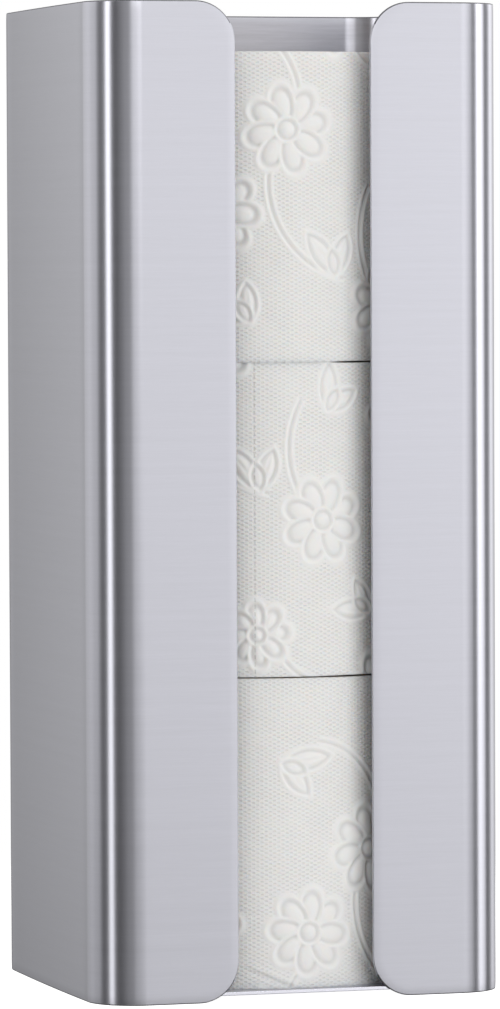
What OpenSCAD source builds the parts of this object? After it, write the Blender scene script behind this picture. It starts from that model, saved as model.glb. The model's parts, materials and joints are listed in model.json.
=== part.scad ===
// Open-topped holder for three spare toilet rolls, folded from one brushed stainless sheet.
// The front keeps a tall slot between two flanges, and a welded shelf carries the stack.
// Millimetres. X to the right seen from the front, -Y out of the wall, Z up.
// The origin lies on the wall plane, in the middle of the four wall holes.

/* [Rolls] */
// Diameter of a full roll
roll_d = 113; // [90:1:130]
// Height of a roll standing on end, which is the width of its paper
roll_h = 95.5; // [85:0.5:120]
// Outside diameter of the cardboard core
core_d = 43; // [36:0.5:50]
// Wall of the cardboard core
core_wall = 1.2; // [0.8:0.1:2]
// Room between the core and the first turn of paper
core_gap = 0.1; // [0.05:0.05:0.3]
// How far the core's ends lie inside the paper's ends
core_recess = 0.6; // [0.2:0.1:3]

/* [Room around the rolls] */
// Room between a roll and each side wall
side_room = 7.8; // [2:0.1:15]
// Room between a roll and the back plate or the flanges
front_room = 2.3; // [1:0.1:10]
// Height of the shell above the topmost roll
head_room = 15.4; // [5:0.1:60]

/* [Shell] */
// Thickness of the shell's sheet
sheet_t = 1.2; // [0.8:0.1:2]
// Outside radius of the four upright bends
bend_r = 15; // [4:0.5:25]
// Width of the slot between the two flanges
slot_w = 43; // [30:1:60]
// Radius of the flanges' corners at both ends of the slot
flange_corner_r = 12.5; // [3:0.5:18]

/* [Shelf] */
// Thickness of the shelf
shelf_t = 1.2; // [0.8:0.1:3]
// Height of the shelf's underside above the shell's lower edge
shelf_lift = 1.9; // [0.5:0.1:10]
// Room between the shelf's corners and the inside of the bends
shelf_corner_gap = 0.4; // [0.1:0.1:2]

/* [Wall holes] */
// Diameter of each wall hole
hole_d = 5.5; // [3.5:0.5:8]
// Distance between the wall holes from left to right
hole_dx = 30; // [16:1:70]
// Distance between the wall holes from bottom to top
hole_dz = 220; // [80:1:250]

/* [Hidden] */

$fn = 96;
// How far a cutting shape runs past the face that it cuts
past = 1;

roll_count = 3;
shell_w = roll_d + 2 * side_room + 2 * sheet_t;
shell_d = roll_d + 2 * front_room + 2 * sheet_t;
shell_h = shelf_lift + shelf_t + roll_count * roll_h + head_room;

base_z = -shell_h / 2;
shelf_z = base_z + shelf_lift;
stack_z = shelf_z + shelf_t;
middle_y = -shell_d / 2;

inner_w = shell_w - 2 * sheet_t;
inner_d = shell_d - 2 * sheet_t;
inner_bend_r = bend_r - sheet_t;

core_bore_d = core_d - 2 * core_wall;
paper_bore_d = core_d + 2 * core_gap;

steel = "#c3c6d0";
tissue = "#efeeec";
board = "#b79c78";

// A rectangle with round corners, centred on the origin
module rounded_rectangle(w, d, r) {
    square([w - 2 * r, d], center = true);
    square([w, d - 2 * r], center = true);
    for (sx = [-1, 1], sy = [-1, 1])
        translate([sx * (w / 2 - r), sy * (d / 2 - r)]) circle(r = r);
}

// An upright prism on that rectangle, centred in the holder's plan
module rounded_prism(w, d, r, z, h) {
    translate([0, middle_y, z]) linear_extrude(height = h) rounded_rectangle(w, d, r);
}

// What a flange loses at a corner: a square outside the corner's arc
module flange_corner_cut() {
    difference() {
        translate([-past, -past]) square(flange_corner_r + past);
        translate([flange_corner_r, flange_corner_r]) circle(r = flange_corner_r);
    }
}

// Outline of the slot seen from the front: straight sides that flare at both ends
module slot_outline() {
    square([slot_w, shell_h + 2 * past], center = true);
    for (side = [0, 1], end = [0, 1])
        mirror([side, 0]) mirror([0, end])
            translate([slot_w / 2, -shell_h / 2]) flange_corner_cut();
}

// The four wall holes, as cutting cylinders along Y
module wall_hole_cuts() {
    for (sx = [-1, 1], sz = [-1, 1])
        translate([sx * hole_dx / 2, past, sz * hole_dz / 2])
            rotate([90, 0, 0]) cylinder(d = hole_d, h = sheet_t + 2 * past);
}

// Back plate, both side walls and both front flanges, one sheet with four bends
module shell() {
    color(steel) difference() {
        rounded_prism(shell_w, shell_d, bend_r, base_z, shell_h);
        rounded_prism(inner_w, inner_d, inner_bend_r, base_z - past, shell_h + 2 * past);
        translate([0, -shell_d + sheet_t + past, 0])
            rotate([90, 0, 0]) linear_extrude(height = sheet_t + 2 * past) slot_outline();
        wall_hole_cuts();
    }
}

// Plate that the stack stands on, welded between the walls just above their lower edge
module shelf() {
    color(steel)
        rounded_prism(inner_w, inner_d, inner_bend_r + shelf_corner_gap, shelf_z, shelf_t);
}

// A tube that stands at a roll's place, counted from the shelf up, short of both its ends by recess
module roll_ring(place, outer_d, bore_d, recess) {
    h = roll_h - 2 * recess;
    translate([0, middle_y, stack_z + place * roll_h + recess]) difference() {
        cylinder(d = outer_d, h = h);
        translate([0, 0, -past]) cylinder(d = bore_d, h = h + 2 * past);
    }
}

// Cardboard tube in the middle of a roll
module core(place) {
    color(board) roll_ring(place, core_d, core_bore_d, core_recess);
}

// The paper wound on that tube
module paper(place) {
    color(tissue) roll_ring(place, roll_d, paper_bore_d, 0);
}

shell();
shelf();
core(0);  // lower_core
paper(0);  // lower_paper
core(1);  // middle_core
paper(1);  // middle_paper
core(2);  // upper_core
paper(2);  // upper_paper
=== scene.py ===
import json
import math

import bpy
import numpy as np
from bpy.props import FloatProperty, FloatVectorProperty, PointerProperty
from mathutils import Matrix, Vector


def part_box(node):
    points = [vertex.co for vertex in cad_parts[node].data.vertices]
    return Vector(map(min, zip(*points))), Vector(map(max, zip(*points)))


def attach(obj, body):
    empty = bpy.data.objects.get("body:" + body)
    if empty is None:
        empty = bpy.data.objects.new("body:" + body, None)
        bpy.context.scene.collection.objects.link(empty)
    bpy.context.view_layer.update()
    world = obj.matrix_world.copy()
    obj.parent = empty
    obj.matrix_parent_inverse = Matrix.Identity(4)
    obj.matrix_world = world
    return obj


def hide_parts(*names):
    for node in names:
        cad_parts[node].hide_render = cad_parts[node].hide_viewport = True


bl_info = {
    "name": "Toilet roll storage holder",
    "version": (1, 0, 0),
    "blender": (4, 5, 0),
    "location": "3D View > Sidebar > Roll holder",
    "description": "Builds a folded stainless holder with three embossed toilet rolls",
    "category": "Add Mesh",
}

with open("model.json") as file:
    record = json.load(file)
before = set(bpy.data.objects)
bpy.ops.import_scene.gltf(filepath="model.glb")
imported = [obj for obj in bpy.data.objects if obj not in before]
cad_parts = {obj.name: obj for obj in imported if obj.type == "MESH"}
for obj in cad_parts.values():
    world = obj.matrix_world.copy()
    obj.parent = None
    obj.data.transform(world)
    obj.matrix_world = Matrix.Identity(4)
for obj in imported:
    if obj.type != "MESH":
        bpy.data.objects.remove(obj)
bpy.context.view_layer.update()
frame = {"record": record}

MM = 0.001
PLACES = ("lower", "middle", "upper")


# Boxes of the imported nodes

SHELL_LOW, SHELL_HIGH = (np.array(corner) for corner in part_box("shell"))
SHELF_LOW, SHELF_HIGH = (np.array(corner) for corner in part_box("shelf"))
PLAN_CENTRE = ((SHELL_LOW + SHELL_HIGH) / 2)[:2]
PAPER_BOXES = {place: [np.array(corner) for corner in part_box(f"{place}_paper")] for place in PLACES}
CORE_BOXES = {place: [np.array(corner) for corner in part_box(f"{place}_core")] for place in PLACES}


def linear(hex_colour):
    """Linear RGBA of an sRGB hex colour."""
    channels = [int(hex_colour[i : i + 2], 16) / 255 for i in (1, 3, 5)]
    return (*[c / 12.92 if c <= 0.04045 else ((c + 0.055) / 1.055) ** 2.4 for c in channels], 1.0)


def length_property(name, description, default_mm, low_mm, high_mm):
    """A length that the user may change, kept in metres."""
    return FloatProperty(
        name=name,
        description=description,
        default=default_mm * MM,
        min=low_mm * MM,
        max=high_mm * MM,
        unit="LENGTH",
        precision=5,
    )


def colour_property(name, description, hex_colour):
    """A colour that the user may change."""
    return FloatVectorProperty(
        name=name,
        description=description,
        subtype="COLOR",
        size=4,
        min=0,
        max=1,
        default=linear(hex_colour),
    )


def power_property(name, description, default_watts):
    """The power of a lamp, which the user may change."""
    return FloatProperty(
        name=name,
        description=description,
        default=default_watts,
        min=0,
        max=500,
        unit="POWER",
    )


class HolderSettings(bpy.types.PropertyGroup):
    """Sizes and colour of the folded shell and its shelf."""

    sheet: length_property("Sheet", "Thickness of the steel sheet", 1.2, 0.6, 3)
    bend_radius: length_property("Bend radius", "Outside radius of the upright bends", 15, 4, 25)
    slot_width: length_property("Slot width", "Gap between the two front flanges", 43, 30, 60)
    corner_radius: length_property("Corner radius", "Radius of the flanges' corners", 12.5, 3, 18)
    edge_round: length_property("Edge rounding", "Radius of the deburred sheet edge", 0.35, 0.05, 0.55)
    edge_fall: length_property("Edge fall", "Depth that brushing wears off beside an edge", 0.1, 0, 0.2)
    edge_reach: length_property("Edge reach", "Width of the worn strip beside an edge", 3, 0.5, 4)
    hole_diameter: length_property("Hole diameter", "Diameter of the wall holes", 5.5, 3.5, 8)
    hole_spacing_x: length_property("Hole spacing across", "Wall holes from left to right", 30, 16, 70)
    hole_spacing_z: length_property("Hole spacing up", "Wall holes from bottom to top", 220, 80, 250)
    shelf_corner: length_property("Shelf corner", "Corner radius of the shelf", 14.2, 4, 25)
    wall_bow: length_property("Wall bow", "How far the side walls bulge from folding", 0.5, 0, 1.5)
    steel: colour_property("Steel", "Colour of the brushed stainless sheet", "#cbcbd3")


class RollSettings(bpy.types.PropertyGroup):
    """Sizes and colours of the paper rolls and their cores."""

    rim_round: length_property("Rim rounding", "Radius of the soft edge of a roll", 0.9, 0.3, 4)
    emboss_depth: length_property("Emboss depth", "Depth of the pressed lines of a motif", 0.5, 0, 0.8)
    dot_across: length_property("Dot spacing across", "Distance between columns of dots", 1.3, 0.8, 4)
    dot_up: length_property("Dot spacing up", "Distance between the dots of a column", 1.34, 0.8, 4)
    dot_depth: length_property("Dot depth", "Depth of the pressed dots", 0.2, 0, 0.4)
    sheet_length: length_property("Sheet length", "Distance between perforations", 125, 80, 200)
    upper_seam_lift: length_property("Upper seam lift", "Extra height of the middle roll", 0.9, 0, 2)
    paper: colour_property("Paper", "Colour of the tissue", "#f0f0f0")
    cut: colour_property("Cut ends", "Colour of the cut layers of tissue", "#eee6dc")
    board: colour_property("Board", "Colour of the cardboard cores", "#b49c7c")


class StudioSettings(bpy.types.PropertyGroup):
    """Camera, floor and light levels."""

    lens: FloatProperty(
        name="Lens",
        description="Focal length, on 36 mm of image height",
        default=222.648,
        min=20,
        max=800,
        unit="CAMERA",
    )
    floor: colour_property("Floor", "Colour of the floor", "#f4f4f4")
    ambient: FloatProperty(name="Ambient", description="Level of the room light", default=0.53, min=0, max=2)
    key: power_property("Key light", "Power of the large lamp at the right", 13)
    front: power_property("Front light", "Power of the small lamp straight ahead", 5.8)
    fill: power_property("Fill light", "Power of the soft lamp above the camera", 3.6)
    top: power_property("Top light", "Power of the lamp overhead", 1)


# Meshes from whole arrays


def surface(name, points, quads, corner_uv, normals=None, slots=(), slot_of_face=None):
    """Mesh object of points (n, 3) and quads (m, 4), with a UV pair for each corner (m, 4, 2)."""
    mesh = bpy.data.meshes.new(name)
    mesh.vertices.add(len(points))
    mesh.vertices.foreach_set("co", points.astype(np.float32).ravel())
    mesh.loops.add(quads.size)
    mesh.loops.foreach_set("vertex_index", quads.astype(np.int32).ravel())
    mesh.polygons.add(len(quads))
    mesh.polygons.foreach_set("loop_start", np.arange(0, quads.size, 4, dtype=np.int32))
    mesh.update(calc_edges=True)
    mesh.polygons.foreach_set("use_smooth", np.ones(len(quads), dtype=bool))
    layer = mesh.uv_layers.new(name="Unrolled")
    layer.uv.foreach_set("vector", corner_uv.astype(np.float32).ravel())
    if normals is not None:
        mesh.normals_split_custom_set_from_vertices(normals)
    for material in slots:
        mesh.materials.append(material)
    if slot_of_face is not None:
        mesh.polygons.foreach_set("material_index", slot_of_face.astype(np.int32))
    mesh.update()
    piece = bpy.data.objects.new(name, mesh)
    bpy.context.scene.collection.objects.link(piece)
    return piece


def point_values(piece, name, values):
    """Puts one number for each point on the piece, for its materials to read."""
    attribute = piece.data.attributes.new(name, "FLOAT", "POINT")
    attribute.data.foreach_set("value", values.astype(np.float32).ravel())


def seat(piece, node):
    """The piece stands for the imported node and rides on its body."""
    body = next(name for name, nodes in frame["record"]["behaviour"]["bodies"].items() if node in nodes)
    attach(piece, body)
    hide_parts(node)


def ease(x, low, high):
    """Smooth step: 0 up to low, 1 from high on, an S curve between. low may be the larger of the two."""
    t = np.clip((x - low) / (high - low), 0, 1)
    return t * t * (3 - 2 * t)


def spaced(start, end, step):
    """Even values from start to end, no further apart than step, without the last."""
    count = max(1, math.ceil(abs(end - start) / step - 1e-9))
    return np.linspace(start, end, count, endpoint=False)


def stretches(stops, steps):
    """Even values from stop to stop, each stretch with a largest step of its own, and the last stop."""
    parts = [spaced(start, end, step) for start, end, step in zip(stops, stops[1:], steps)]
    return np.concatenate([*parts, stops[-1:]])


def round_axis(r, a, z):
    """Points at radius r and angle a round the rolls' axis, 0 at the front, and at height z."""
    return np.stack([r * np.sin(a), PLAN_CENTRE[1] - r * np.cos(a), z], axis=-1).reshape(-1, 3)


# Sheet metal


def rim_loop(i0, i1, j0, j1, rows):
    """Numbers of the grid points round the block of columns i0 to i1 and rows j0 to j1, anticlockwise."""
    wide, high = i1 - i0, j1 - j0
    i = np.concatenate([np.arange(i0, i1), np.full(high, i1), np.arange(i1, i0, -1), np.full(high, i0)])
    j = np.concatenate([np.full(wide, j0), np.arange(j0, j1), np.full(wide, j1), np.arange(j1, j0, -1)])
    return i * rows + j


def band(first, second):
    """Quads between two closed loops of as many points, the second outside the first."""
    return np.stack([first, second, np.roll(second, -1), np.roll(first, -1)], axis=1)


class Blank:
    """A flat sheet with round corners, in (u, z, w): along the sheet, up, and out of its outer face.

    Both faces are the grid z = v * half height(u), where the half height falls along a quarter arc inside
    each corner. The faces dip beside every edge, and a rim of two quarter arcs joins them.
    """

    RIM_ANGLES = np.radians([30, 60, 90])
    # Grid lines beside an edge, in shares of the worn strip's width
    EDGE_STEPS = np.array([0, 0.1, 0.25, 0.45, 0.7, 1, 1.6, 2.6, 4])

    def __init__(self, length, height, corner, thickness, edge, fall, reach):
        self.length, self.half, self.corner, self.thickness = length, height / 2, corner, thickness
        self.edge, self.fall, self.reach = edge, fall, reach

    def corner_columns(self, step_degrees=4):
        """Distances from a side edge that turn evenly round the corner's arc."""
        turn = np.radians(spaced(0, 90, step_degrees))
        return self.corner - (self.corner - self.edge) * np.cos(turn)

    def edge_rows(self):
        """Distances from the lower edge of a column, close together where the face dips."""
        return self.edge + (self.reach - self.edge) * self.EDGE_STEPS

    def outward(self, u, z):
        """Unit vector towards the nearest edge, and the distance to it."""
        near_u = np.clip(u, self.corner, self.length - self.corner)
        near_z = np.clip(z, self.corner - self.half, self.half - self.corner)
        du, dz = u - near_u, z - near_z
        reach = np.hypot(du, dz)
        safe = np.maximum(reach, 1e-9)
        return du / safe, dz / safe, self.corner - reach

    def face(self, u, z, side):
        """Height and normal of a face: side is 1 on the outer face and -1 on the inner one."""
        out_u, out_z, distance = self.outward(u, z)
        left = np.clip(1 - distance / self.reach, 0, 1)
        dip = self.fall * left**2
        slope = 2 * self.fall / self.reach * left
        w = -dip if side > 0 else dip - self.thickness
        normal = np.stack([slope * out_u, slope * out_z, np.full(u.shape, float(side))], axis=-1)
        return w, normal / np.linalg.norm(normal, axis=-1, keepdims=True)

    def build(self, columns, rows, holes=(), hole_radius=0.0):
        """Points, normals and quads of the blank. A hole is (columns of its block, rows of its block)."""
        u = np.repeat(columns[:, None], len(rows), axis=1)
        s = np.minimum(u, self.length - u)
        cut = np.clip(self.corner - s, 0, self.corner - self.edge)
        half = self.half - self.corner + np.sqrt((self.corner - self.edge) ** 2 - cut**2)
        z = rows[None, :] / (self.half - self.edge) * half
        count = u.size
        points, normals = [], []
        for side in (1, -1):
            w, normal = self.face(u, z, side)
            points.append(np.stack([u, z, w], axis=-1).reshape(-1, 3))
            normals.append(normal.reshape(-1, 3))
        i, j = np.meshgrid(np.arange(len(columns) - 1), np.arange(len(rows) - 1), indexing="ij")
        keep = np.ones(i.shape, dtype=bool)
        for (i0, i1), (j0, j1) in holes:
            keep[i0:i1, j0:j1] = False
        a = (i * len(rows) + j)[keep]
        outer = np.stack([a, a + len(rows), a + len(rows) + 1, a + 1], axis=1)
        quads = [outer, outer[:, ::-1] + count]

        def lead_over(loop, start, out, angles):
            """Rings that turn over the edge, from a loop of the outer face to the same one of the inner face.

            A ring lies at start + out * edge * sin(angle), and drops by edge * (1 - cos(angle)).
            """
            loops = [loop]
            for side, base, turn in ((1, points[0], angles), (-1, points[1], angles[::-1])):
                for angle in turn:
                    loops.append(np.arange(len(loop)) + sum(map(len, points)))
                    w = base[loop, 2] - side * self.edge * (1 - math.cos(angle))
                    points.append(np.column_stack([start + out * self.edge * math.sin(angle), w]))
                    tilt = np.full(len(loop), side * math.cos(angle))
                    normals.append(np.column_stack([out * math.sin(angle), tilt]))
            loops.append(loop + count)
            quads.extend(band(first, second) for first, second in zip(loops, loops[1:]))

        flat = points[0][:, :2]
        loop = rim_loop(0, len(columns) - 1, 0, len(rows) - 1, len(rows))
        out = np.stack(self.outward(*flat[loop].T)[:2], axis=1)
        lead_over(loop, flat[loop], out, self.RIM_ANGLES)
        for (i0, i1), (j0, j1) in holes:
            loop = rim_loop(i0, i1, j0, j1, len(rows))[::-1]
            middle = np.array([columns[i0] + columns[i1], rows[j0] + rows[j1]]) / 2
            away = flat[loop] - middle
            out = -away / np.linalg.norm(away, axis=1, keepdims=True)
            lead_over(loop, middle - out * (hole_radius + self.edge), out, [0, *self.RIM_ANGLES])
        return np.concatenate(points), np.concatenate(normals), np.concatenate(quads)


class FoldPath:
    """Outer line of the shell seen from above, from the slot's right edge round the back to its left edge.

    Straight and bent stretches follow each other. Heading turns evenly along a bend, and the place is the
    sum of what each stretch has added.
    """

    def __init__(self, slot_width, radius, bow):
        width, depth = (SHELL_HIGH - SHELL_LOW)[:2]
        flange = (width - slot_width) / 2 - radius
        side, back, bend = depth - 2 * radius, width - 2 * radius, radius * math.pi / 2
        self.radius, self.bow = radius, bow
        self.lengths = np.array([flange, bend, side, bend, back, bend, side, bend, flange])
        self.bent = np.array([False, True] * 4 + [False])
        self.marks = np.concatenate([[0], np.cumsum(self.lengths)])
        self.start = np.array([slot_width / 2, SHELL_LOW[1]])

    def at(self, u):
        """Place and heading at distance u along the sheet."""
        heading = np.zeros_like(u)
        place = np.zeros((*u.shape, 2)) + self.start
        entry = 0.0
        for mark, length, bent in zip(self.marks, self.lengths, self.bent):
            run = np.clip(u - mark, 0, length)
            if bent:
                turned = entry + run / self.radius
                place[..., 0] += self.radius * (np.sin(turned) - math.sin(entry))
                place[..., 1] -= self.radius * (np.cos(turned) - math.cos(entry))
                heading += run / self.radius
                entry += math.pi / 2
            else:
                place[..., 0] += run * math.cos(entry)
                place[..., 1] += run * math.sin(entry)
        return place, heading

    def wrap(self, points, normals):
        """Carries flat (u, z, w) points and normals onto the folded sheet."""
        place, heading = self.at(points[:, 0])
        swell = np.zeros(len(points))
        for wall in (2, 6):
            t = np.clip((points[:, 0] - self.marks[wall]) / self.lengths[wall], 0, 1)
            swell += self.bow * 4 * t * (1 - t)
            inside = (t > 0) & (t < 1)
            heading = heading - inside * np.arctan(self.bow * 4 * (1 - 2 * t) / self.lengths[wall])
        along = np.stack([np.cos(heading), np.sin(heading)], axis=1)
        out = np.stack([np.sin(heading), -np.cos(heading)], axis=1)
        bent = np.column_stack([place + (points[:, 2:3] + swell[:, None]) * out, points[:, 1]])
        turned = np.column_stack([normals[:, 0:1] * along + normals[:, 2:3] * out, normals[:, 1]])
        return bent, turned


# Each hole stands in a square block of the grid, this wide and so many cells across
HOLE_BLOCK, HOLE_CELLS = 10 * MM, 8
# How far from the upper and lower edge the rim keeps its dull finish and painted shade
PAINTED_SHADE_RIM_REACH = 7 * MM
FLAT_STEP, BEND_STEP, SHELF_STEP = 5 * MM, math.radians(3), 8 * MM


def fold_shell(settings):
    """The shell: a flat blank with four drilled holes, carried round the fold path."""
    path = FoldPath(settings.slot_width, settings.bend_radius, settings.wall_bow)
    height = SHELL_HIGH[2] - SHELL_LOW[2]
    blank = Blank(
        path.marks[-1],
        height,
        settings.corner_radius,
        settings.sheet,
        settings.edge_round,
        settings.edge_fall,
        settings.edge_reach,
    )
    marks, corner = path.marks, blank.corner_columns()
    back_middle, half_block = (marks[4] + marks[5]) / 2, HOLE_BLOCK / 2
    hole_u = [back_middle + side * settings.hole_spacing_x / 2 for side in (-1, 1)]
    hole_z = [side * settings.hole_spacing_z / 2 for side in (-1, 1)]
    block_u, block_z = (
        [middle + side * half_block for middle in hole for side in (-1, 1)] for hole in (hole_u, hole_z)
    )
    past_corner = settings.corner_radius
    stops = [past_corner, *marks[1:5], *block_u, *marks[5:9], marks[9] - past_corner]
    bends, blocks = [FLAT_STEP, BEND_STEP * settings.bend_radius], [FLAT_STEP, HOLE_BLOCK / HOLE_CELLS]
    steps = bends * 2 + blocks * 2 + bends * 2 + [FLAT_STEP]
    columns = np.concatenate([corner, stretches(stops, steps), marks[9] - corner[::-1]])
    edge = blank.edge_rows() - blank.half
    inner = edge[-1] + FLAT_STEP
    rows = np.concatenate([edge, stretches([inner, *block_z, -inner], blocks * 2 + [FLAT_STEP]), -edge[::-1]])

    def block(values, middle):
        """First and last number of the grid lines round a hole."""
        first = int(np.argmin(np.abs(values - middle + half_block)))
        return first, first + HOLE_CELLS

    holes = [(block(columns, at_u), block(rows, at_z)) for at_u in hole_u for at_z in hole_z]
    flat, flat_normals, quads = blank.build(columns, rows, holes, settings.hole_diameter / 2)
    points, normals = path.wrap(flat, flat_normals)
    corner_uv = np.stack([flat[:, 1], flat[:, 0]], axis=1)[quads]
    points[:, 2] += (SHELL_LOW[2] + SHELL_HIGH[2]) / 2
    face_points = len(columns) * len(rows)
    slot = ((quads >= face_points) & (quads < 2 * face_points)).all(axis=1).astype(int)
    on_rim = (quads >= 2 * face_points).any(axis=1)
    painted_shade_rims = (np.abs(flat[:, 1]) > height / 2 - PAINTED_SHADE_RIM_REACH)[quads].all(axis=1)
    slot[on_rim & painted_shade_rims] = 2
    # The upper and lower edges get a duller finish than the brushed faces, and painted shade: a steel colour
    # darkened to 0.4 that stands in for the dark they mirror above and below
    painted_shade_edge = cut_edge("sheared_stainless", tinted(settings.steel, 0.4), 0.45)
    sides = [brushed_stainless(settings), brushed_stainless(settings, "inner"), painted_shade_edge]
    return surface("folded_shell", points, quads, corner_uv, normals, sides, slot)


# Rounding, fall and worn strip of the shelf's edge
SHELF_EDGE = (0.2 * MM, 0.02 * MM, 1.0 * MM)


def weld_shelf(settings):
    """The shelf: the same kind of blank, left flat and laid level."""
    width, depth = (SHELF_HIGH - SHELF_LOW)[:2]
    thickness = SHELF_HIGH[2] - SHELF_LOW[2]
    blank = Blank(width, depth, settings.shelf_corner, thickness, *SHELF_EDGE)
    corner = blank.corner_columns()
    middle = stretches([blank.corner, width - blank.corner], [SHELF_STEP])
    columns = np.concatenate([corner, middle, width - corner[::-1]])
    edge = blank.edge_rows() - blank.half
    rows = np.concatenate([edge, spaced(edge[-1] + SHELF_STEP, -edge[-1], SHELF_STEP), -edge[::-1]])
    flat, normals, quads = blank.build(columns, rows)
    points = flat + np.array([SHELF_LOW[0], PLAN_CENTRE[1], SHELF_HIGH[2]])
    corner_uv = np.stack([flat[:, 1], flat[:, 0]], axis=1)[quads]
    on_rim = (quads >= 2 * len(columns) * len(rows)).any(axis=1)
    # Painted light: the shelf's edge is cut clean, and a steel colour lightened by 1.3 lifts it out of the
    # shade it stands in
    slots = [brushed_stainless(settings), cut_edge("deburred_stainless", tinted(settings.steel, 1.3), 0.24)]
    return surface("welded_shelf", points, quads, corner_uv, normals, slots, on_rim)


# Pressed motifs of the paper, all in millimetres on the unrolled sheet

# Height of one repeat
CELL_UP = 122.0


class Relief:
    """Height of the pressed pattern over a grid of places (s, z), and how far it takes the dots away."""

    def __init__(self, s, z, cell):
        self.s, self.z, self.cell = s, z, cell
        self.height = np.zeros_like(s)
        self.plain = np.zeros_like(s)

    def local(self, centre, turn):
        """Places seen from a motif: x along its turn, y across. Of its repeats, the nearest counts."""
        ds = (self.s - centre[0] + self.cell / 2) % self.cell - self.cell / 2
        dz = (self.z - centre[1] + CELL_UP / 2) % CELL_UP - CELL_UP / 2
        c, n = math.cos(math.radians(turn)), math.sin(math.radians(turn))
        return ds * c + dz * n, dz * c - ds * n

    def press(self, distance, puff=0.8):
        """Lays a shape over what is there. distance is 0 on its outline and negative inside.

        The inside swells, the outline is a groove 1 mm wide, and a low ridge runs round it.
        """
        inside = puff * ease(distance, 0.0, -2.2)
        line = np.exp(-((distance / 0.5) ** 2))
        ridge = 0.6 * np.exp(-(((distance - 1.15) / 0.55) ** 2))
        cover = ease(distance, 2.0, 1.2)
        self.height = self.height * (1 - cover) + (inside - line + ridge) * cover
        self.plain = np.maximum(self.plain, ease(distance, 2.4, 1.5))

    def petal(self, centre, turn, reach, width, root):
        """An egg that starts near the motif's middle and ends at reach."""
        x, y = self.local(centre, turn)
        long_half, short_half = reach * (1 - root) / 2, width / 2
        x = x - reach * (1 + root) / 2
        y = y * (1 - 0.35 * x / reach)
        distance = (np.hypot(x / long_half, y / short_half) - 1) * min(long_half, short_half)
        self.press(distance)

    def daisy(self, centre, turn, reach):
        """Eight slim petals round a button."""
        for k in range(8):
            self.petal(centre, turn + 45 * k, reach, reach * 0.46, 0.2)
        x, y = self.local(centre, turn)
        self.press(np.hypot(x, y) - reach * 0.22, puff=1.2)

    def leaf(self, centre, turn, length, width):
        """The lens where two circles overlap, with a groove along its middle."""
        x, y = self.local(centre, turn)
        x = x - length / 2
        radius = (length**2 / 4 + width**2 / 4) / width
        distance = np.hypot(x, np.abs(y) + radius - width / 2) - radius
        self.press(distance)
        vein = np.exp(-((y / 0.35) ** 2)) * ease(distance, 0.0, -1.2)
        self.height -= 0.6 * vein

    def sprig(self, centre, turn, scale):
        """Two leaves at one point, spread like an open book, and a small bud between."""
        self.leaf(centre, turn + 28, 15 * scale, 5.5 * scale)
        self.leaf(centre, turn - 30, 12 * scale, 5.0 * scale)
        self.leaf(centre, turn, 7 * scale, 3.2 * scale)

    def stem(self, centre, radius, start, sweep):
        """A groove along an arc of a circle, with a low ridge on each side."""
        x, y = self.local(centre, start + sweep / 2)
        angle = np.degrees(np.arctan2(y, x))
        inside = ease(np.abs(angle), sweep / 2 + 1, sweep / 2 - 1)
        across = np.abs(np.hypot(x, y) - radius)
        strip = ease(across, 2.2, 1.4) * inside
        line = np.exp(-((across / 0.45) ** 2))
        ridge = 0.6 * np.exp(-(((across - 1.05) / 0.5) ** 2))
        self.height = self.height * (1 - strip) + (ridge - line) * strip
        self.plain = np.maximum(self.plain, strip)


# The parts of one repeat. A stem has centre, radius, start and sweep, a sprig centre, turn and scale, and a
# daisy centre, turn and reach.
STEMS = (
    ((66, 60), 30, 150, 110), ((20, 84), 26, -12, 95), ((97, 44), 30, 150, 100), ((80, 112), 18, 180, 100),
    ((40, 20), 30, 100, 70),
)
SPRIGS = (
    ((58, 32), 100, 1), ((80, 56), 60, 0.9), ((12, 103), -20, 1), ((30, 18), 125, 0.9),
    ((95, 116), 150, 0.85), ((8, 20), 75, 0.9),
)
DAISIES = (
    ((42, 76), 12, 12.5), ((20, 51), 40, 12), ((78, 22), 25, 12), ((57, 109), 5, 9),
    ((101, 90), 30, 12.5), ((106, 54), 0, 9.5),
)


def press_motifs(s, z, cell):
    """The pattern of one repeat: stems, sprigs and daisies, each laid over what comes before it."""
    relief = Relief(s, z, cell)
    for lay, motifs in ((relief.stem, STEMS), (relief.sprig, SPRIGS), (relief.daisy, DAISIES)):
        for motif in motifs:
            lay(*motif)
    return relief


# Paper rolls

# Half of the fine part of a roll's wall, in degrees, and the steps in it and outside it
FRONT_REACH, FINE_STEP, COARSE_TURN = 52.0, 0.41 * MM, 2.5
# Half of the full turn, less the seam that closes it
HALF_TURN = 179.9
# What one turn of paper adds to the radius
LAP = 0.3 * MM
# Rolls differ a little in width: how much of the upper seam's lift the bottom and top of each one get
SEAM_LIFTS = {"lower": (0, 0), "middle": (0, 1), "upper": (1, 0.3)}
# How far the outermost layers fall back from an open seam at most, and how wide they are together
SEAM_GAP, SEAM_REACH = 0.6 * MM, 3 * MM
CORE_GAP = 0.1 * MM
# Dents of a roll's wall: depth in millimetres, waves round it, and how far they lean from bottom to top
DENTS = ((0.22, 2, 0), (0.10, 5, 3), (0.07, 9, -5), (0.06, 14, 7))
# Soft rings of a cut end, coarser than the real layers: half their depth, their turn for each millimetre of
# radius, where they start inside the rim and where they are full
LAYER_DIP, LAYER_TURN, LAYER_START, LAYER_FULL = 0.12 * MM, 1.9, 1 * MM, 4 * MM


def roll_angles(radius):
    """Angles round a roll, 0 at the front: close together where the slot shows them, wide at the back."""
    steps = [COARSE_TURN, math.degrees(FINE_STEP / radius), COARSE_TURN]
    return np.radians(stretches([-HALF_TURN, -FRONT_REACH, FRONT_REACH, HALF_TURN], steps))


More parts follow.
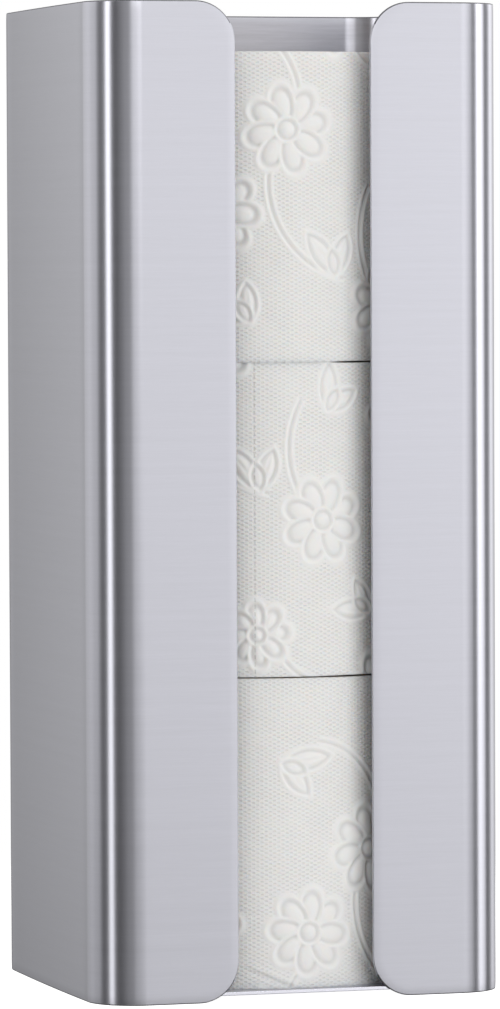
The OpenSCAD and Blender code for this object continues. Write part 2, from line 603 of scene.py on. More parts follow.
def ring_quads(angle_count, profile_count):
    """Quads of a closed profile carried round a full turn, facing outwards, with unwrapped grid numbers."""
    i, k = np.meshgrid(np.arange(angle_count), np.arange(profile_count), indexing="ij")
    steps = ((0, 0), (1, 0), (1, 1), (0, 1))
    i4 = np.stack([i + di for di, _ in steps], axis=-1).reshape(-1, 4)
    k4 = np.stack([k + dk for _, dk in steps], axis=-1).reshape(-1, 4)
    return (i4 % angle_count) * profile_count + k4 % profile_count, i4, k4


def rim_share(place, end, a):
    """How much of the full rounding one end of a roll has, at each angle round it.

    The lower roll is pressed flat on the shelf. The upper seam is tight in front and opens to the right, and
    the lower seam is open all round.
    """
    right = ease(np.degrees(a), 4, 17) * ease(np.degrees(a), 170, 110)
    if (place, end) == ("lower", "bottom"):
        return np.full(a.shape, 0.12)
    if (place, end) == ("upper", "top"):
        return np.full(a.shape, 0.4)
    if (place, end) in (("middle", "top"), ("upper", "bottom")):
        return 0.1 + 0.8 * right
    return 0.75 + 0.2 * right


def round_rim(radius, end, sign, rounding, reach):
    """Radii, heights and wall shares of a roll's rim, from the wall to the end face.

    A short straight run leads to a quarter arc, whose radius may differ from angle to angle.
    """
    rounding = rounding[:, None]
    straight, arc = np.array([0.5, 0.95]), np.radians([12, 30, 48, 66, 80])
    run_z = end - sign * (reach - (reach - rounding) * straight)
    arc_r, arc_z = radius - rounding * (1 - np.cos(arc)), end - sign * rounding * (1 - np.sin(arc))
    return (
        np.hstack([np.full_like(run_z, radius), arc_r]),
        np.hstack([run_z, arc_z]),
        np.concatenate([[1, 1], np.cos(arc)]),
    )


def wind_paper(place, settings, finishes, turn, shift, tear_line, crease, seed):
    """One roll of paper: a closed profile carried round the core, with the pressed motifs on its wall.

    The wall lies at radius + motif height + slow dents + the lap, which grows evenly over a turn to the
    loose end of the sheet at the back. The flat ends dip in soft rings.
    """
    low, high = PAPER_BOXES[place]
    core_low, core_high = CORE_BOXES[place]
    radius = (high[0] - low[0]) / 2
    bore = (core_high[0] - core_low[0]) / 2 + CORE_GAP
    lifts = (share * settings.upper_seam_lift for share in SEAM_LIFTS[place])
    bottom, top = (end + lift for end, lift in zip((low[2], high[2]), lifts))
    rim = settings.rim_round
    angles = roll_angles(radius)

    wall_z = np.linspace(bottom + rim, top - rim, round((top - bottom - 2 * rim) / FINE_STEP) + 1)
    # The bore's ends are bevelled
    bevel = 0.4 * MM
    end_r = np.linspace(radius - rim, bore + bevel, 8)
    top_share, bottom_share = rim_share(place, "top", angles), rim_share(place, "bottom", angles)
    over_r, over_z, over_wall = round_rim(radius, top, 1, rim * top_share, rim)
    under_r, under_z, _ = round_rim(radius, bottom, -1, rim * bottom_share, rim)

    def all_round(*values):
        """The same run of the profile at every angle."""
        return np.tile(np.concatenate(values), (len(angles), 1))

    at_end = np.ones(len(end_r))
    ends_r = all_round(end_r, [bore, bore], end_r[::-1])
    r = np.hstack([all_round(radius + 0 * wall_z), over_r, ends_r, under_r[:, ::-1]])
    ends_z = all_round(top * at_end, [top - bevel, bottom + bevel], bottom * at_end)
    z = np.hstack([all_round(wall_z), over_z, ends_z, under_z[:, ::-1]])
    on_wall = np.concatenate([np.ones(len(wall_z)), over_wall, np.zeros(2 * len(end_r) + 2), over_wall[::-1]])
    a, wall = np.meshgrid(angles, on_wall, indexing="ij")
    repeat = 2 * math.pi * radius / MM / 3
    relief = press_motifs(a * radius / MM + turn, (z - bottom) / MM + shift, repeat)
    phases = np.random.default_rng(seed).uniform(0, 2 * math.pi, 5)
    up = (z - bottom) / (top - bottom)
    dents = sum(
        depth * np.cos(waves * a + lean * up + phase) for (depth, waves, lean), phase in zip(DENTS, phases)
    )
    if crease:
        dents = dents + fold_line(a * radius / MM, (z - bottom) / MM)
    lap = LAP * (a / (2 * math.pi) - 0.5)
    r += wall * (relief.height * settings.emboss_depth + dents * MM + lap)
    layer = LAYER_DIP * (np.sin(r / MM * LAYER_TURN + phases[4] + 0.6 * np.sin(a)) - 1)
    layer *= (1 - wall) * (r > bore + bevel / 2) * ease(radius - r, LAYER_START, LAYER_FULL)
    flat_z = z.copy()
    outermost = (1 - wall) * (r > radius - SEAM_REACH)
    # An end whose rim is rounded by less than this share stands tight on the next roll
    tight = 0.4
    top_gap, bottom_gap = (
        SEAM_GAP * np.clip(share - tight, 0, 1)[:, None] * outermost for share in (top_share, bottom_share)
    )
    z += np.where(z > (top + bottom) / 2, layer - top_gap, bottom_gap - layer)

    quads, i4, k4 = ring_quads(len(angles), len(on_wall))
    full_angles = np.append(angles, angles[0] + 2 * math.pi)
    uv_s = full_angles[i4] * radius - tear_line * MM
    uv_z = flat_z[i4 % len(angles), k4 % len(on_wall)] - bottom + shift * MM
    is_end = (on_wall[k4 % len(on_wall)] < 0.5).all(axis=1)
    corner_uv = np.stack([uv_s, uv_z], axis=-1)
    points = round_axis(r, a, z)
    piece = surface(f"{place}_wound_paper", points, quads, corner_uv, slots=finishes, slot_of_face=is_end)
    point_values(piece, "plain", relief.plain)
    point_values(piece, "groove", np.clip(-relief.height, 0, 1))
    return piece


def fold_line(s, z):
    """A soft crease that runs down to the right at the lower left, as the sheet's last turn was pulled."""
    start, end = np.array([-14.5, 6.2]), np.array([-1.5, 1.0])
    run = end - start
    length = np.linalg.norm(run)
    along = ((s - start[0]) * run[0] + (z - start[1]) * run[1]) / length
    across = ((s - start[0]) * -run[1] + (z - start[1]) * run[0]) / length
    fade = ease(along, -5, 1) * ease(along, length + 3, length - 4)
    ridge, furrow = np.exp(-((across / 0.9) ** 2)), np.exp(-(((across + 1.3) / 0.7) ** 2))
    return fade * (0.35 * ridge - 0.45 * furrow)


# Wall, width of the wound strip, and rounding of the ends of a core
CORE_WALL, STRIP_WIDTH, CORE_EDGE = 1.2 * MM, 70 * MM, 0.25 * MM
# Depth and half width of the joint between the strip's turns, and how far the inner strip's joint is shifted
JOINT_DEPTH, JOINT_REACH, INNER_SHIFT = 0.12 * MM, 0.9 * MM, 0.35


def roll_core(place, finish):
    """One cardboard core: a tube of wound strip, with a shallow helical joint on both walls.

    The joint is a groove where angle and height meet the helix of one strip width a turn.
    """
    low, high = CORE_BOXES[place]
    outer = (high[0] - low[0]) / 2
    inner = outer - CORE_WALL
    angles = np.linspace(-math.pi, math.pi, 120, endpoint=False)
    rise = np.linspace(low[2] + CORE_EDGE, high[2] - CORE_EDGE, 110)
    level = np.ones(len(rise))
    rim = np.array([outer - CORE_EDGE, inner + CORE_EDGE])
    profile_r = np.concatenate([level * outer, rim, level * inner, rim[::-1]])
    profile_z = np.concatenate([rise, [high[2], high[2]], rise[::-1], [low[2], low[2]]])
    sign = np.concatenate([-level, [0, 0], level, [0, 0]])
    a, z = np.meshgrid(angles, profile_z, indexing="ij")
    lift = np.where(sign > 0, INNER_SHIFT, 0.0)
    offset = (z / STRIP_WIDTH - a / (2 * math.pi) + lift + 0.5) % 1 - 0.5
    r = profile_r + sign * JOINT_DEPTH * np.exp(-((offset * STRIP_WIDTH / JOINT_REACH) ** 2))
    quads, i4, k4 = ring_quads(len(angles), len(profile_r))
    around = (i4 / len(angles) * 2 * math.pi - math.pi) * outer
    corner_uv = np.stack([around, profile_z[k4 % len(profile_z)]], axis=-1)
    return surface(f"{place}_card_tube", round_axis(r, a, z), quads, corner_uv, slots=[finish])


# Materials


def add(tree, kind, sockets=None, **settings):
    """One shader node of a kind, with its settings, and its sockets given as values or as other outputs."""
    node = tree.nodes.new("ShaderNode" + kind)
    for name, value in settings.items():
        setattr(node, name, value)
    for name, value in (sockets or {}).items():
        if isinstance(value, bpy.types.NodeSocket):
            tree.links.new(value, node.inputs[name])
        else:
            node.inputs[name].default_value = value
    return node


def new_material(name):
    """An empty node material and its output node."""
    material = bpy.data.materials.new(name)
    material.use_nodes = True
    material.node_tree.nodes.clear()
    return material, material.node_tree, add(material.node_tree, "OutputMaterial")


def finished(material, output, shader):
    """Joins the last shader to the output, and gives the material back."""
    material.node_tree.links.new(shader.outputs[0], output.inputs["Surface"])
    return material


def per_mm(size_mm):
    """Noise scale at which one cell is size_mm wide, for coordinates in metres."""
    return 1 / (size_mm * MM)


def tinted(colour, factor):
    """The colour, lighter or darker."""
    return (*[min(1.0, c * factor) for c in colour[:3]], 1.0)


def brushed_stainless(settings, side="outer"):
    """Brushed stainless sheet, ground with a belt along the sheet before it was folded.

    To the eye it is a grey mirror, blurred up and down only, so lights show as upright bands. The outer side
    has the fine last pass. The inner side keeps the coarse first one, which shows as streaks.
    """
    name = f"brushed_stainless_{side}"
    found = bpy.data.materials.get(name)
    if found:
        return found
    spread, height = (0.035, 0.45) if side == "outer" else (0.11, 0.9)
    material, tree, output = new_material(name)
    # The UV map is (height, distance along the sheet), so the belt's scratches run along V
    uv = add(tree, "UVMap", uv_map="Unrolled").outputs[0]
    # Scratches 14 mm long, 0.45 mm high outside and 0.9 mm inside, give the level grain, drawn coarser than
    # the real 0.1 mm so that they show
    scale = (per_mm(height), per_mm(14), 1)
    place = add(tree, "Mapping", {"Vector": uv, "Scale": scale}).outputs[0]
    fine = add(tree, "TexNoise", {"Vector": place, "Scale": 1.0, "Detail": 3.0, "Roughness": 0.65}).outputs[0]
    # Passes of the belt leave bands a few millimetres high
    place = add(tree, "Mapping", {"Vector": uv, "Scale": (per_mm(2.5), per_mm(160), 1)}).outputs[0]
    broad = add(tree, "TexNoise", {"Vector": place, "Scale": 1.0, "Detail": 2.0}).outputs[0]
    grain = add(tree, "Math", {0: fine, 1: broad}, operation="ADD").outputs[0]
    level = add(tree, "MapRange", {0: grain, 1: 0.6, 2: 1.4, 3: 1 - spread, 4: 1 + spread}).outputs[0]
    tone = add(tree, "VectorMath", {0: settings.steel[:3], "Scale": level}, operation="SCALE").outputs[0]
    rough = add(tree, "MapRange", {0: grain, 1: 0.6, 2: 1.4, 3: 0.285, 4: 0.315}).outputs[0]
    bump = add(tree, "Bump", {"Height": fine, "Strength": 0.2, "Distance": 0.006 * MM}).outputs[0]
    tangent = add(tree, "Tangent", direction_type="UV_MAP", uv_map="Unrolled").outputs[0]
    sockets = {"Base Color": tone, "Metallic": 1.0, "Roughness": rough, "Anisotropic": 0.9}
    sockets |= {"Tangent": tangent, "Normal": bump}
    return finished(material, output, add(tree, "BsdfPrincipled", sockets))


def cut_edge(name, colour, roughness):
    """Cut and deburred edge of a stainless sheet: plain metal, broken up by the fine marks of the cutter. Its
    colour is a darker or lighter copy of the steel, which paints shade or light on the edge.
    """
    material, tree, output = new_material(name)
    place = add(tree, "TexCoord").outputs["Object"]
    # Marks 0.3 mm wide, drawn coarser than the real 0.1 mm so that they show
    marks = add(tree, "TexNoise", {"Vector": place, "Scale": per_mm(0.3), "Detail": 2.0}).outputs[0]
    span = {3: roughness - 0.05, 4: roughness + 0.05}
    rough = add(tree, "MapRange", {0: marks, 1: 0.3, 2: 0.7, **span}).outputs[0]
    bump = add(tree, "Bump", {"Height": marks, "Strength": 0.2, "Distance": 0.008 * MM}).outputs[0]
    sockets = {"Base Color": colour, "Metallic": 1.0, "Roughness": rough, "Normal": bump}
    return finished(material, output, add(tree, "BsdfPrincipled", sockets))


def embossed_tissue(settings):
    """Two-ply bleached tissue, pressed with fine dots between the motifs and perforated once a sheet.

    To the eye it is soft, matt and white, and light that sinks in a little softens its shades.
    """
    material, tree, output = new_material("embossed_tissue")
    uv = add(tree, "UVMap", uv_map="Unrolled").outputs[0]
    place = add(tree, "SeparateXYZ", {0: uv})
    across, up = place.outputs[0], place.outputs[1]
    # Dots stand in columns, and every second column is set half a step up
    waves = []
    for way, rate in ((across, math.pi / settings.dot_across), (up, 2 * math.pi / settings.dot_up)):
        turn = add(tree, "Math", {0: way, 1: rate}, operation="MULTIPLY").outputs[0]
        waves.append(add(tree, "Math", {0: turn}, operation="COSINE").outputs[0])
    lattice = add(tree, "Math", dict(enumerate(waves)), operation="MULTIPLY").outputs[0]
    dots = add(tree, "MapRange", {0: lattice, 1: -0.1, 2: 0.85}, interpolation_type="SMOOTHSTEP").outputs[0]
    plain = add(tree, "Attribute", attribute_name="plain").outputs["Fac"]
    kept = add(tree, "Math", {0: 1.0, 1: plain}, operation="SUBTRACT").outputs[0]
    # The press bites unevenly, over patches some 9 mm wide
    patches = add(tree, "TexNoise", {"Vector": uv, "Scale": per_mm(9), "Detail": 1.0}).outputs[0]
    bite = add(tree, "MapRange", {0: patches, 1: 0.3, 2: 0.7, 3: 0.7, 4: 1.0}).outputs[0]
    pit = add(tree, "Math", {0: dots, 1: kept}, operation="MULTIPLY").outputs[0]
    pit = add(tree, "Math", {0: pit, 1: bite}, operation="MULTIPLY").outputs[0]
    # Crepe of the tissue, drawn 0.6 mm wide, coarser than the real 0.2 mm so that it shows
    crepe = add(tree, "TexNoise", {"Vector": uv, "Scale": per_mm(0.6), "Detail": 2.0}).outputs[0]
    # Perforation: short slits, 1.1 mm a step, on one line a sheet
    line = add(tree, "Math", {0: across, 1: settings.sheet_length / 2}, operation="PINGPONG").outputs[0]
    on_line = add(tree, "MapRange", {0: line, 1: 0.32 * MM, 2: 0.12 * MM}).outputs[0]
    slit = add(tree, "Math", {0: up, 1: 1.1 * MM}, operation="PINGPONG").outputs[0]
    in_slit = add(tree, "MapRange", {0: slit, 1: 0.35 * MM, 2: 0.55 * MM}).outputs[0]
    cut = add(tree, "Math", {0: on_line, 1: in_slit}, operation="MULTIPLY").outputs[0]
    height = add(tree, "Math", {0: crepe, 1: 0.2, 2: 1.0}, operation="MULTIPLY_ADD").outputs[0]
    height = add(tree, "Math", {0: height, 1: pit}, operation="SUBTRACT").outputs[0]
    height = add(tree, "Math", {0: cut, 1: -0.5, 2: height}, operation="MULTIPLY_ADD").outputs[0]
    bump = add(tree, "Bump", {"Height": height, "Strength": 1.0, "Distance": settings.dot_depth}).outputs[0]
    # Pits and grooves shade themselves a little, and the slits let the shade between the sheets show
    groove = add(tree, "Attribute", attribute_name="groove").outputs["Fac"]
    shade = add(tree, "Math", {0: pit, 1: 0.7, 2: cut}, operation="MULTIPLY_ADD").outputs[0]
    sockets = {0: groove, 1: 0.7, 2: shade}
    shade = add(tree, "Math", sockets, operation="MULTIPLY_ADD", use_clamp=True).outputs[0]
    colours = {"Factor": shade, "A": settings.paper, "B": tinted(settings.paper, 0.86)}
    tone = add(tree, "Mix", colours, data_type="RGBA").outputs[2]
    sockets = {"Base Color": tone, "Roughness": 0.9, "Specular IOR Level": 0.15, "Normal": bump}
    sockets |= {"Subsurface Weight": 0.5, "Subsurface Radius": (1.0, 0.8, 0.65), "Subsurface Scale": 4 * MM}
    return finished(material, output, add(tree, "BsdfPrincipled", sockets))


def cut_tissue(settings):
    """Saw-cut ends of the wound tissue: rings of soft, linty edges, matt and a little cream."""
    material, tree, output = new_material("cut_tissue_edges")
    place = add(tree, "TexCoord").outputs["Object"]
    # Turned about the roll's own axis, which stands at the middle of the plan
    local = add(tree, "VectorMath", {0: place, 1: (*PLAN_CENTRE, 0)}, operation="SUBTRACT")
    split = add(tree, "SeparateXYZ", {0: local.outputs[0]})
    x, y = split.outputs[0], split.outputs[1]
    flat = add(tree, "CombineXYZ", {0: x, 1: y, 2: 0.0}).outputs[0]
    radius = add(tree, "VectorMath", {0: flat}, operation="LENGTH").outputs["Value"]
    angle = add(tree, "Math", {0: y, 1: x}, operation="ARCTAN2").outputs[0]
    turns = add(tree, "Math", {0: angle, 1: 1 / (2 * math.pi)}, operation="MULTIPLY").outputs[0]
    # Layers 0.9 mm apart, drawn coarser than the real 0.35 mm so that they show
    spiral = add(tree, "Math", {0: radius, 1: per_mm(0.9), 2: turns}, operation="MULTIPLY_ADD").outputs[0]
    wobble = add(tree, "TexNoise", {"Vector": flat, "Scale": per_mm(12), "Detail": 2.0}).outputs[0]
    spiral = add(tree, "Math", {0: wobble, 1: 3.0, 2: spiral}, operation="MULTIPLY_ADD").outputs[0]
    sockets = {"W": spiral, "Scale": 1.0, "Detail": 3.0}
    layer = add(tree, "TexNoise", sockets, noise_dimensions="1D").outputs[0]
    lint = add(tree, "TexNoise", {"Vector": place, "Scale": per_mm(0.7), "Detail": 2.0}).outputs[0]
    height = add(tree, "Math", {0: lint, 1: 0.5, 2: layer}, operation="MULTIPLY_ADD").outputs[0]
    bump = add(tree, "Bump", {"Height": height, "Strength": 0.8, "Distance": 0.35 * MM}).outputs[0]
    shade = add(tree, "MapRange", {0: layer, 1: 0.3, 2: 0.7}).outputs[0]
    colours = {"Factor": shade, "A": tinted(settings.cut, 0.8), "B": settings.cut}
    tone = add(tree, "Mix", colours, data_type="RGBA").outputs[2]
    sockets = {"Base Color": tone, "Roughness": 0.95, "Specular IOR Level": 0.1, "Normal": bump}
    return finished(material, output, add(tree, "BsdfPrincipled", sockets))


def core_board(settings):
    """Grey-brown wound cardboard, made of recycled fibre, matt and a little mottled."""
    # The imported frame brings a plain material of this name, which comes first
    found = bpy.data.materials.get("core_board")
    if found:
        return found
    material, tree, output = new_material("core_board")
    place = add(tree, "TexCoord").outputs["Object"]
    # Fibres 0.8 mm long and a quarter of that high lie over mottles some 6 mm wide
    fibre_place = add(tree, "Mapping", {"Vector": place, "Scale": (1, 1, 4)}).outputs[0]
    fibre = add(tree, "TexNoise", {"Vector": fibre_place, "Scale": per_mm(0.8), "Detail": 4.0}).outputs[0]
    mottle = add(tree, "TexNoise", {"Vector": place, "Scale": per_mm(6), "Detail": 2.0}).outputs[0]
    mixed = add(tree, "Math", {0: fibre, 1: mottle}, operation="ADD").outputs[0]
    shade = add(tree, "MapRange", {0: mixed, 1: 0.6, 2: 1.4}).outputs[0]
    colours = {"Factor": shade, "A": tinted(settings.board, 0.78), "B": tinted(settings.board, 1.12)}
    tone = add(tree, "Mix", colours, data_type="RGBA").outputs[2]
    bump = add(tree, "Bump", {"Height": fibre, "Strength": 0.5, "Distance": 0.08 * MM}).outputs[0]
    sockets = {"Base Color": tone, "Roughness": 0.85, "Specular IOR Level": 0.25, "Normal": bump}
    return finished(material, output, add(tree, "BsdfPrincipled", sockets))


# Studio

CAMERA_PLACE = Vector((-0.5638, -1.9378, 0.0744))
CAMERA_YAW, CAMERA_PITCH, CAMERA_ROLL = 16.729, -2.261, -0.242

# Brightness of the surroundings that the metal mirrors, by compass angle in degrees: 0 straight ahead of
# the holder, 90 to its left, -90 to its right. Two lit strips stand between dark flags.
MIRROR_COMPASS = (
    (-180, 0.3), (-155, 0.4), (-140, 0.5), (-126, 0.9), (-115, 1.25), (-109, 0.85), (-103, 0.38), (-95, 0.2),
    (-87, 0.3), (-84, 1.2), (-68, 2.1), (-63, 1.8), (-60, 0.6), (-56, 0.12), (-50, 0.3), (-46, 0.72),
    (-38, 1.0), (-26, 1.42), (-19, 1.5), (-13, 1.12), (-8, 0.55), (0, 0.34), (8, 0.36), (14, 0.44),
    (26, 0.47), (38, 0.27), (50, 0.13), (60, 0.16), (64, 1.2), (68, 2.3), (74, 1.7), (77, 0.5), (81, 0.25),
    (90, 0.16), (98, 0.32), (104, 0.65), (118, 0.66), (126, 0.74), (135, 0.72), (148, 0.62), (157, 0.58),
    (171, 0.28), (180, 0.3),
)
# How that brightness changes from straight down to straight up
MIRROR_RISE = (
    (-90, 0.7), (-62, 0.7), (-42, 0.05), (-15, 0.1), (-10, 1.1), (3, 1.2), (9, 1.6), (22, 1.5), (45, 0.5),
    (90, 0.3),
)
# What multiplies it above the holder's rim, where the inside of the back plate and its bends look out, and
# the degrees up over which that sets in
MIRROR_OVER_RIM = (
    (-180, 1), (-32, 1), (-20, 0.45), (-13, 0.6), (-9, 3.2), (-3, 5.2), (8, 4.8), (18, 0.6), (40, 1),
    (180, 1),
)
OVER_RIM_FROM, OVER_RIM_TO = 4, 14
MIRROR_RADIUS = 3.0
# Rings of the floor, and how far under the shell it lies, so that the two don't touch
FLOOR_RINGS = (0.0005, 0.08, 0.16, 0.24, 0.32, 0.4, 0.45)
FLOOR_DROP = 0.02 * MM
# Where the floor starts to fade into the background, and where it has gone
FLOOR_FADE = (0.2, 0.441)
WHITE = (1.0, 1.0, 1.0, 1.0)
# The room's own light is a little warm, which shows in the shade beside the right flange
ROOM_COLOUR = (1.0, 0.98, 0.94, 1.0)


def hide_from(piece, *rays):
    """Turns off some kinds of ray for a stage object or lamp."""
    for ray in rays:
        setattr(piece, f"visible_{ray}", False)


def seen_directly(tree):
    """1 for camera, glossy and transmission rays, and 0 for the rays that carry light."""
    path = add(tree, "LightPath").outputs
    seen = path["Is Camera Ray"]
    for ray in ("Is Glossy Ray", "Is Transmission Ray"):
        seen = add(tree, "Math", {0: seen, 1: path[ray]}, operation="MAXIMUM").outputs[0]
    return seen


def place_camera(settings):
    """Camera at the photograph's angle, from yaw, pitch and roll."""
    yaw, pitch, roll = (math.radians(value) for value in (CAMERA_YAW, CAMERA_PITCH, CAMERA_ROLL))
    ahead = Vector((math.sin(yaw) * math.cos(pitch), math.cos(yaw) * math.cos(pitch), math.sin(pitch)))
    level = Vector((math.cos(yaw), -math.sin(yaw), 0))
    upright = level.cross(ahead)
    right = math.cos(roll) * level + math.sin(roll) * upright
    above = math.cos(roll) * upright - math.sin(roll) * level
    camera = bpy.data.objects.new("camera", bpy.data.cameras.new("camera"))
    camera.data.sensor_width = 36
    camera.data.lens = settings.lens
    camera.location = CAMERA_PLACE
    camera.rotation_euler = Matrix((right, above, -ahead)).transposed().to_euler()
    bpy.context.scene.collection.objects.link(camera)
    bpy.context.scene.camera = camera


def compass_ray(a, e):
    """Unit vector from the holder at compass angle a and height e, as three parts."""
    return -np.sin(a) * np.cos(e), -np.cos(a) * np.cos(e), np.sin(e)


def wheel_surface(name, points, around, material):
    """A grid of points that closes round a full turn, in a material that isn't sampled as a lamp."""
    outward = len(points) // around
    i, k = np.meshgrid(np.arange(around), np.arange(outward - 1), indexing="ij")
    first, following = i * outward + k, (i + 1) % around * outward + k
    quads = np.stack([first, first + 1, following + 1, following], axis=-1).reshape(-1, 4)
    material.cycles.emission_sampling = "NONE"
    return surface(name, points, quads, np.zeros((len(quads), 4, 2)), slots=[material])


def lay_floor(settings):
    """A round floor under the holder: white to the camera, darker where the holder stands and shades it."""
    turn = np.linspace(0, 2 * math.pi, 96, endpoint=False)
    a, r = np.meshgrid(turn, FLOOR_RINGS, indexing="ij")
    z = np.full(a.shape, SHELL_LOW[2] - FLOOR_DROP)
    points = np.stack([r * np.cos(a), PLAN_CENTRE[1] + r * np.sin(a), z], axis=-1).reshape(-1, 3)
    material, tree, output = new_material("studio_floor")
    place = add(tree, "TexCoord").outputs["Object"]
    centre = (0, PLAN_CENTRE[1], SHELL_LOW[2])
    local = add(tree, "VectorMath", {0: place, 1: centre}, operation="SUBTRACT").outputs[0]
    away = add(tree, "VectorMath", {0: local}, operation="LENGTH").outputs["Value"]
    span = {1: FLOOR_FADE[0], 2: FLOOR_FADE[1]}
    fade = add(tree, "MapRange", {0: away, **span}, interpolation_type="SMOOTHSTEP").outputs[0]
    glow = add(tree, "Math", {0: seen_directly(tree), 1: 0.95}, operation="MULTIPLY").outputs[0]
    matt = add(tree, "BsdfDiffuse", {"Color": settings.floor}).outputs[0]
    light = add(tree, "Emission", {"Color": WHITE, "Strength": glow}).outputs[0]
    both = add(tree, "AddShader", {0: matt, 1: light}).outputs[0]
    nothing = add(tree, "BsdfTransparent").outputs[0]
    faded = add(tree, "MixShader", {0: fade, 1: both, 2: nothing}).outputs[0]
    # From below the floor is clear, so that the underside can be looked at
    behind = add(tree, "NewGeometry").outputs["Backfacing"]
    finished(material, output, add(tree, "MixShader", {0: behind, 1: faded, 2: nothing}))
    floor = wheel_surface("studio_floor", points, len(turn), material)
    hide_from(floor, "glossy")


def raise_mirror_view():
    """A dome all round the holder that only the metal's reflections see.

    Its brightness at every half degree round and 3 degrees up is the compass curve times the rise curve, and
    higher up also times the curve for what shows over the rim.
    """
    curves = (MIRROR_COMPASS, MIRROR_RISE, MIRROR_OVER_RIM)
    compass, rise, over = (np.array(curve, float).T for curve in curves)
    turn, up = np.arange(-180, 180, 0.5), np.arange(-90, 91, 3.0)
    glow = np.interp(turn, *compass)[:, None] * np.interp(up, *rise)[None, :]
    above = ease(up, OVER_RIM_FROM, OVER_RIM_TO)[None, :]
    glow *= 1 + (np.interp(turn, *over) - 1)[:, None] * above
    out = np.stack(compass_ray(*np.meshgrid(np.radians(turn), np.radians(up), indexing="ij")), axis=-1)
    points = out.reshape(-1, 3) * MIRROR_RADIUS + np.array([0, PLAN_CENTRE[1], 0])
    material, tree, output = new_material("studio_mirror_view")
    level = add(tree, "Attribute", attribute_name="glow").outputs["Fac"]
    finished(material, output, add(tree, "Emission", {"Color": WHITE, "Strength": level}))
    dome = wheel_surface("studio_mirror_view", points, len(turn), material)
    point_values(dome, "glow", glow)
    hide_from(dome, "camera", "diffuse", "shadow", "transmission")


# Each lamp's compass angle and height in degrees, distance and size
LAMPS = {
    "key": (-34, 6, 2.2, 1.4),
    "front": (-6, 12, 2.2, 0.6),
    "fill": (14, 38, 2.2, 1.0),
    "top": (-10, 70, 1.8, 0.8),
}


def hang_lamp(name, power, compass, height, distance, size):
    """A square soft lamp aimed at the holder's middle, which lights matt surfaces only."""
    lamp = bpy.data.objects.new(name, bpy.data.lights.new(name, "AREA"))
    lamp.data.energy = power
    lamp.data.size = size
    back = Vector(compass_ray(math.radians(compass), math.radians(height)))
    lamp.location = Vector((0, PLAN_CENTRE[1], 0)) + back * distance
    lamp.rotation_euler = back.to_track_quat("Z", "Y").to_euler()
    bpy.context.scene.collection.objects.link(lamp)
    hide_from(lamp, "camera", "glossy")


def light_world(settings):
    """White to the camera and to reflections, and a plain room level for the light itself."""
    world = bpy.data.worlds.new("studio")
    world.use_nodes = True
    tree = world.node_tree
    tree.nodes.clear()
    seen = seen_directly(tree)
    level = add(tree, "MapRange", {0: seen, 3: settings.ambient, 4: 1.0}).outputs[0]
    tone = add(tree, "Mix", {"Factor": seen, "A": ROOM_COLOUR, "B": WHITE}, data_type="RGBA").outputs[2]
    sky = add(tree, "Background", {"Color": tone, "Strength": level})
    tree.links.new(sky.outputs[0], add(tree, "OutputWorld").inputs["Surface"])
    bpy.context.scene.world = world


# Operators


class ROLLHOLDER_OT_shell(bpy.types.Operator):
    """Fold the stainless shell"""

    bl_idname = "rollholder.shell"
    bl_label = "Fold shell"

    def execute(self, context):
        seat(fold_shell(context.scene.holder_settings), "shell")
        return {"FINISHED"}


class ROLLHOLDER_OT_shelf(bpy.types.Operator):
    """Put in the shelf that carries the stack"""

    bl_idname = "rollholder.shelf"
    bl_label = "Weld shelf"

    def execute(self, context):
        seat(weld_shelf(context.scene.holder_settings), "shelf")
        return {"FINISHED"}


# Each roll's turn and shift of the pattern and place of a perforation, in millimetres, whether it is creased,
# and its seed
ROLL_WINDING = {
    "lower": (18.0, 34.0, 60.0, True, 3),
    "middle": (71.0, 96.0, -14.6, False, 5),
    "upper": (46.0, 5.0, 70.0, False, 8),
}


class ROLLHOLDER_OT_paper(bpy.types.Operator):
    """Wind the paper of the three rolls"""

    bl_idname = "rollholder.paper"
    bl_label = "Wind paper"

    def execute(self, context):
        settings = context.scene.roll_settings
        finishes = [embossed_tissue(settings), cut_tissue(settings)]
        for place, winding in ROLL_WINDING.items():
            seat(wind_paper(place, settings, finishes, *winding), f"{place}_paper")
        return {"FINISHED"}


class ROLLHOLDER_OT_cores(bpy.types.Operator):
    """Make the three cardboard cores"""

    bl_idname = "rollholder.cores"
    bl_label = "Make cores"

    def execute(self, context):
        board = core_board(context.scene.roll_settings)
        for place in PLACES:
            seat(roll_core(place, board), f"{place}_core")
        return {"FINISHED"}


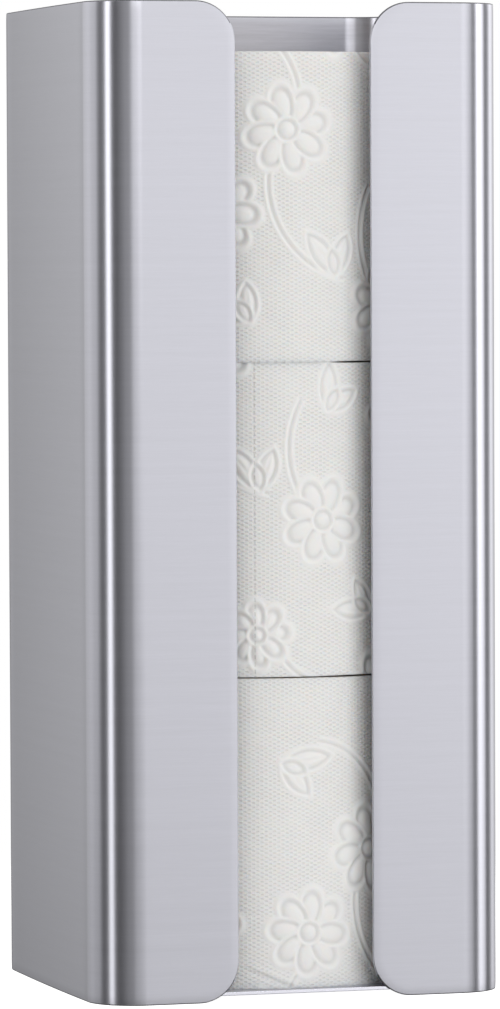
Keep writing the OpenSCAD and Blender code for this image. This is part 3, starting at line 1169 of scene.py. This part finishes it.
class ROLLHOLDER_OT_stage(bpy.types.Operator):
    """Set up the camera, floor and soft studio light"""

    bl_idname = "rollholder.stage"
    bl_label = "Set stage"

    def execute(self, context):
        settings = context.scene.studio_settings
        context.scene.view_settings.view_transform = "Standard"
        place_camera(settings)
        lay_floor(settings)
        raise_mirror_view()
        light_world(settings)
        for lamp, hanging in LAMPS.items():
            hang_lamp(f"{lamp}_lamp", getattr(settings, lamp), *hanging)
        return {"FINISHED"}


BUILD_ORDER = (
    ROLLHOLDER_OT_stage,
    ROLLHOLDER_OT_shell,
    ROLLHOLDER_OT_shelf,
    ROLLHOLDER_OT_paper,
    ROLLHOLDER_OT_cores,
)


class ROLLHOLDER_PT_panel(bpy.types.Panel):
    """Lists the settings and the build steps"""

    bl_idname = "ROLLHOLDER_PT_panel"
    bl_label = "Roll holder"
    bl_space_type = "VIEW_3D"
    bl_region_type = "UI"
    bl_category = "Roll holder"

    def draw(self, context):
        for operator in BUILD_ORDER:
            self.layout.operator(operator.bl_idname)
        for group in SETTINGS:
            settings, column = getattr(context.scene, group), self.layout.column()
            for name in settings.__annotations__:
                column.prop(settings, name)


SETTINGS = {
    "holder_settings": HolderSettings,
    "roll_settings": RollSettings,
    "studio_settings": StudioSettings,
}


def register():
    for settings in SETTINGS.values():
        bpy.utils.register_class(settings)
    for name, settings in SETTINGS.items():
        setattr(bpy.types.Scene, name, PointerProperty(type=settings))
    for operator in BUILD_ORDER:
        bpy.utils.register_class(operator)
    bpy.utils.register_class(ROLLHOLDER_PT_panel)


def unregister():
    bpy.utils.unregister_class(ROLLHOLDER_PT_panel)
    for operator in reversed(BUILD_ORDER):
        bpy.utils.unregister_class(operator)
    for name, settings in SETTINGS.items():
        delattr(bpy.types.Scene, name)
        bpy.utils.unregister_class(settings)


def main():
    register()
    bpy.ops.rollholder.stage()
    bpy.ops.rollholder.shell()
    bpy.ops.rollholder.shelf()
    bpy.ops.rollholder.paper()
    bpy.ops.rollholder.cores()


if __name__ == "__main__":
    main()
